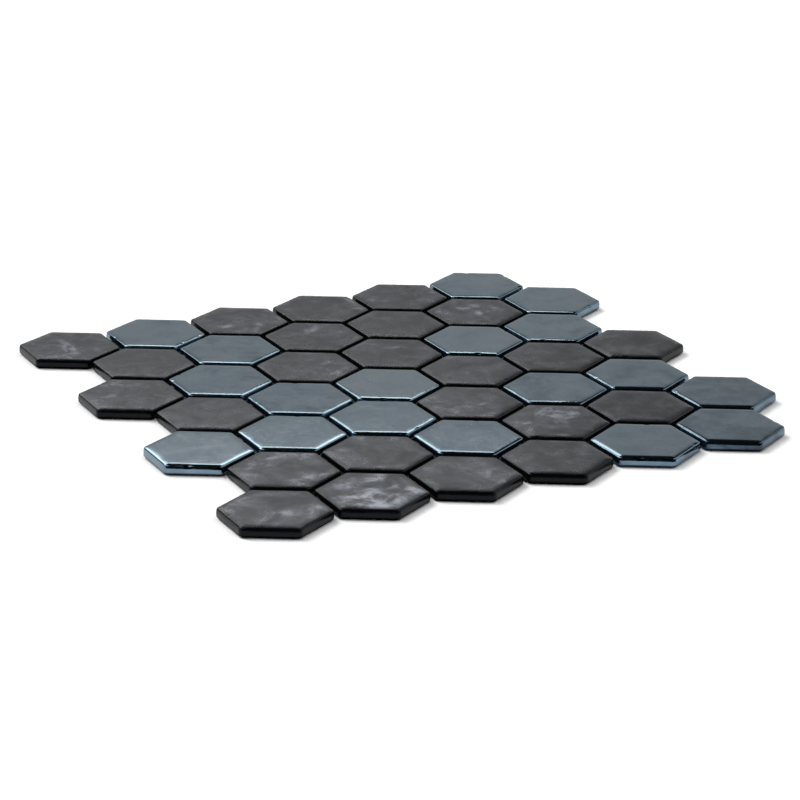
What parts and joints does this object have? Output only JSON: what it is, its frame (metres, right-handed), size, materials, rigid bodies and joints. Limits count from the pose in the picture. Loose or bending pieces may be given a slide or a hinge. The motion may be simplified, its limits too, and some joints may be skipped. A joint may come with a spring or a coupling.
{
  "type": "hexagon glass mosaic tile sheet",
  "caption": "Interlocking sheet of hexagonal glass mosaic tiles in a matte and iridescent mix, with open grout joints, held on a backing net for bonding to a wall or floor.",
  "frame": {"origin": "centre of the sheet's box, on the underside of the backing net", "axes": "+X along the rows of tiles, +Y across the rows from the front row to the back row, +Z out of the glazed face"},
  "size_m": [0.299, 0.2908, 0.005],
  "materials": {
    "matte_glass": "smoky black opaque glass with a matte, faintly clouded face",
    "iridescent_glass": "opaque blue-grey glass with a satin iridescent coating",
    "net_thread": "dark coated glass-fibre thread"
  },
  "bodies": {
    "root": {"matte_tile_r1_c1": "matte_glass", "matte_tile_r1_c2": "matte_glass", "matte_tile_r1_c3": "matte_glass", "matte_tile_r1_c4": "matte_glass", "iridescent_tile_r1_c5": "iridescent_glass", "iridescent_tile_r1_c6": "iridescent_glass", "matte_tile_r2_c1": "matte_glass", "matte_tile_r2_c2": "matte_glass", "iridescent_tile_r2_c3": "iridescent_glass", "matte_tile_r2_c4": "matte_glass", "matte_tile_r2_c5": "matte_glass", "iridescent_tile_r2_c6": "iridescent_glass", "iridescent_tile_r3_c1": "iridescent_glass", "iridescent_tile_r3_c2": "iridescent_glass", "iridescent_tile_r3_c3": "iridescent_glass", "matte_tile_r3_c4": "matte_glass", "iridescent_tile_r3_c5": "iridescent_glass", "iridescent_tile_r3_c6": "iridescent_glass", "matte_tile_r4_c1": "matte_glass", "iridescent_tile_r4_c2": "iridescent_glass", "iridescent_tile_r4_c3": "iridescent_glass", "matte_tile_r4_c4": "matte_glass", "matte_tile_r4_c5": "matte_glass", "matte_tile_r4_c6": "matte_glass", "matte_tile_r5_c1": "matte_glass", "iridescent_tile_r5_c2": "iridescent_glass", "matte_tile_r5_c3": "matte_glass", "matte_tile_r5_c4": "matte_glass", "iridescent_tile_r5_c5": "iridescent_glass", "iridescent_tile_r5_c6": "iridescent_glass", "matte_tile_r6_c1": "matte_glass", "iridescent_tile_r6_c2": "iridescent_glass", "matte_tile_r6_c3": "matte_glass", "matte_tile_r6_c4": "matte_glass", "matte_tile_r6_c5": "matte_glass", "iridescent_tile_r6_c6": "iridescent_glass", "matte_tile_r7_c1": "matte_glass", "iridescent_tile_r7_c2": "iridescent_glass", "matte_tile_r7_c3": "matte_glass", "matte_tile_r7_c4": "matte_glass", "matte_tile_r7_c5": "matte_glass", "iridescent_tile_r7_c6": "iridescent_glass", "net_warp": "net_thread", "net_weft": "net_thread"}
  },
  "joints": []
}
